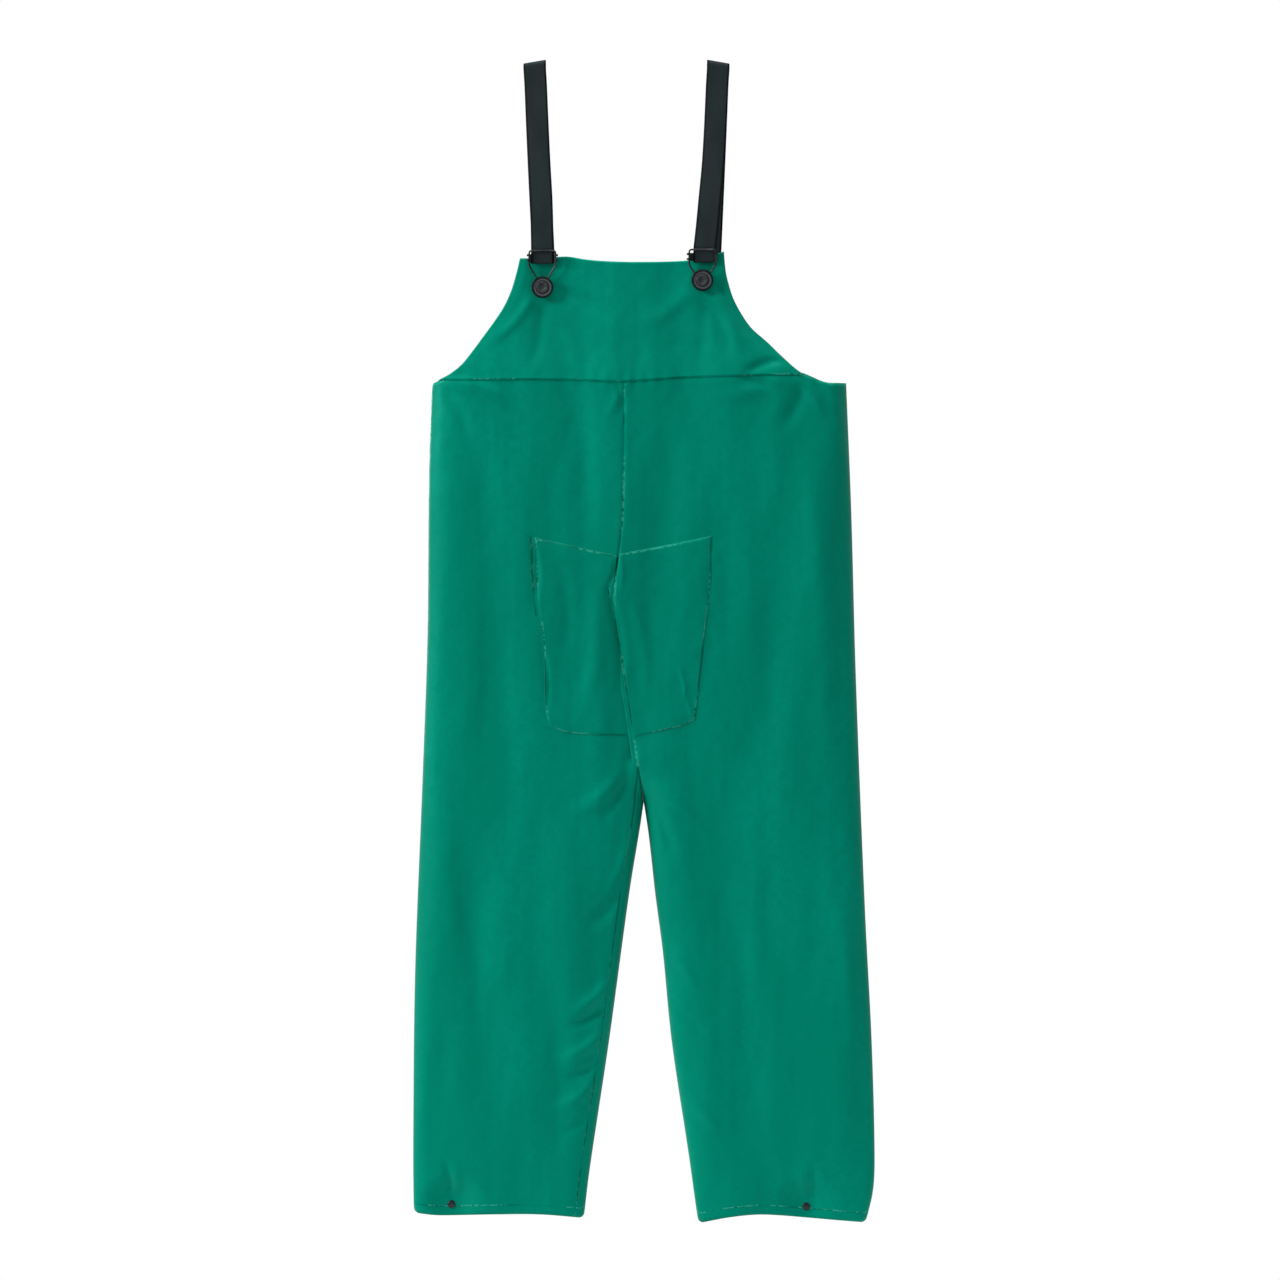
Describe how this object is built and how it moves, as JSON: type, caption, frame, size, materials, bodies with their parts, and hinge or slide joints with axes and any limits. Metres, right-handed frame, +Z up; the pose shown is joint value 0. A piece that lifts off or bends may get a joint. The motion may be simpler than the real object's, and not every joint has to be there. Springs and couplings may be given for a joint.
{
  "type": "bib overalls",
  "caption": "Waterproof PVC bib overalls with elastic braces, wire dungaree buckles, crotch patches and ankle snaps.",
  "frame": {"origin": "midway between the folds of the two braces, at the level where they hang", "axes": "+Z up, -Y the way the front faces, +X the wearer's left"},
  "size_m": [0.6137, 0.0719, 1.5466],
  "materials": {
    "pvc_cloth": "satin",
    "pvc_patch": "satin",
    "elastic_webbing": "ribbed",
    "black_wire": "satin black",
    "button_metal": "dark grey",
    "snap_metal": "satin black"
  },
  "bodies": {
    "overalls": {"front_bib": "pvc_cloth", "right_hip_panel": "pvc_cloth", "right_crotch_patch": "pvc_patch", "right_button_patch": "pvc_patch", "right_back_patch": "pvc_patch", "right_strap": "elastic_webbing", "right_button_tack": "button_metal", "left_hip_panel": "pvc_cloth", "left_crotch_patch": "pvc_patch", "left_button_patch": "pvc_patch", "left_back_patch": "pvc_patch", "left_strap": "elastic_webbing", "left_button_tack": "button_metal"},
    "right_leg": {"right_leg_tube": "pvc_cloth", "right_snap_cap": "snap_metal", "right_snap_socket": "snap_metal", "right_snap_stud": "snap_metal", "right_snap_post": "snap_metal"},
    "right_buckle": {"right_buckle_frame": "black_wire"},
    "right_slide": {"right_locking_slide": "black_wire", "right_strap_loop": "elastic_webbing"},
    "right_button": {"right_button_cap": "button_metal"},
    "left_leg": {"left_leg_tube": "pvc_cloth", "left_snap_cap": "snap_metal", "left_snap_socket": "snap_metal", "left_snap_stud": "snap_metal", "left_snap_post": "snap_metal"},
    "left_buckle": {"left_buckle_frame": "black_wire"},
    "left_slide": {"left_locking_slide": "black_wire", "left_strap_loop": "elastic_webbing"},
    "left_button": {"left_button_cap": "button_metal"}
  },
  "joints": [
    {"name": "right_leg_swing", "type": "hinge", "parent": "overalls", "child": "right_leg", "pos_m": [-0.13, 0, -1.04], "axis": [-1, 0, 0], "range_deg": [-30, 45]},
    {"name": "right_buckle_swing", "type": "hinge", "parent": "overalls", "child": "right_buckle", "pos_m": [-0.1116, -0.018, -0.3008], "axis": [0, 1, 0], "range_deg": [-15, 15], "stiffness_Nm_per_rad": 0.1},
    {"name": "right_slide_release", "type": "slide", "parent": "right_buckle", "child": "right_slide", "axis": [0, 0.0698, -0.9976], "range_m": [0, 0.0045]},
    {"name": "right_button_spin", "type": "hinge", "parent": "overalls", "child": "right_button", "pos_m": [-0.1116, -0.022, -0.3008], "axis": [0, 1, 0], "continuous": true},
    {"name": "left_leg_swing", "type": "hinge", "parent": "overalls", "child": "left_leg", "pos_m": [0.18, 0, -1.04], "axis": [-1, 0, 0], "range_deg": [-30, 45]},
    {"name": "left_buckle_swing", "type": "hinge", "parent": "overalls", "child": "left_buckle", "pos_m": [0.1008, -0.018, -0.2913], "axis": [0, 1, 0], "range_deg": [-15, 15], "stiffness_Nm_per_rad": 0.1},
    {"name": "left_slide_release", "type": "slide", "parent": "left_buckle", "child": "left_slide", "axis": [0, 0.0698, -0.9976], "range_m": [0, 0.0045]},
    {"name": "left_button_spin", "type": "hinge", "parent": "overalls", "child": "left_button", "pos_m": [0.1008, -0.022, -0.2913], "axis": [0, 1, 0], "continuous": true}
  ]
}
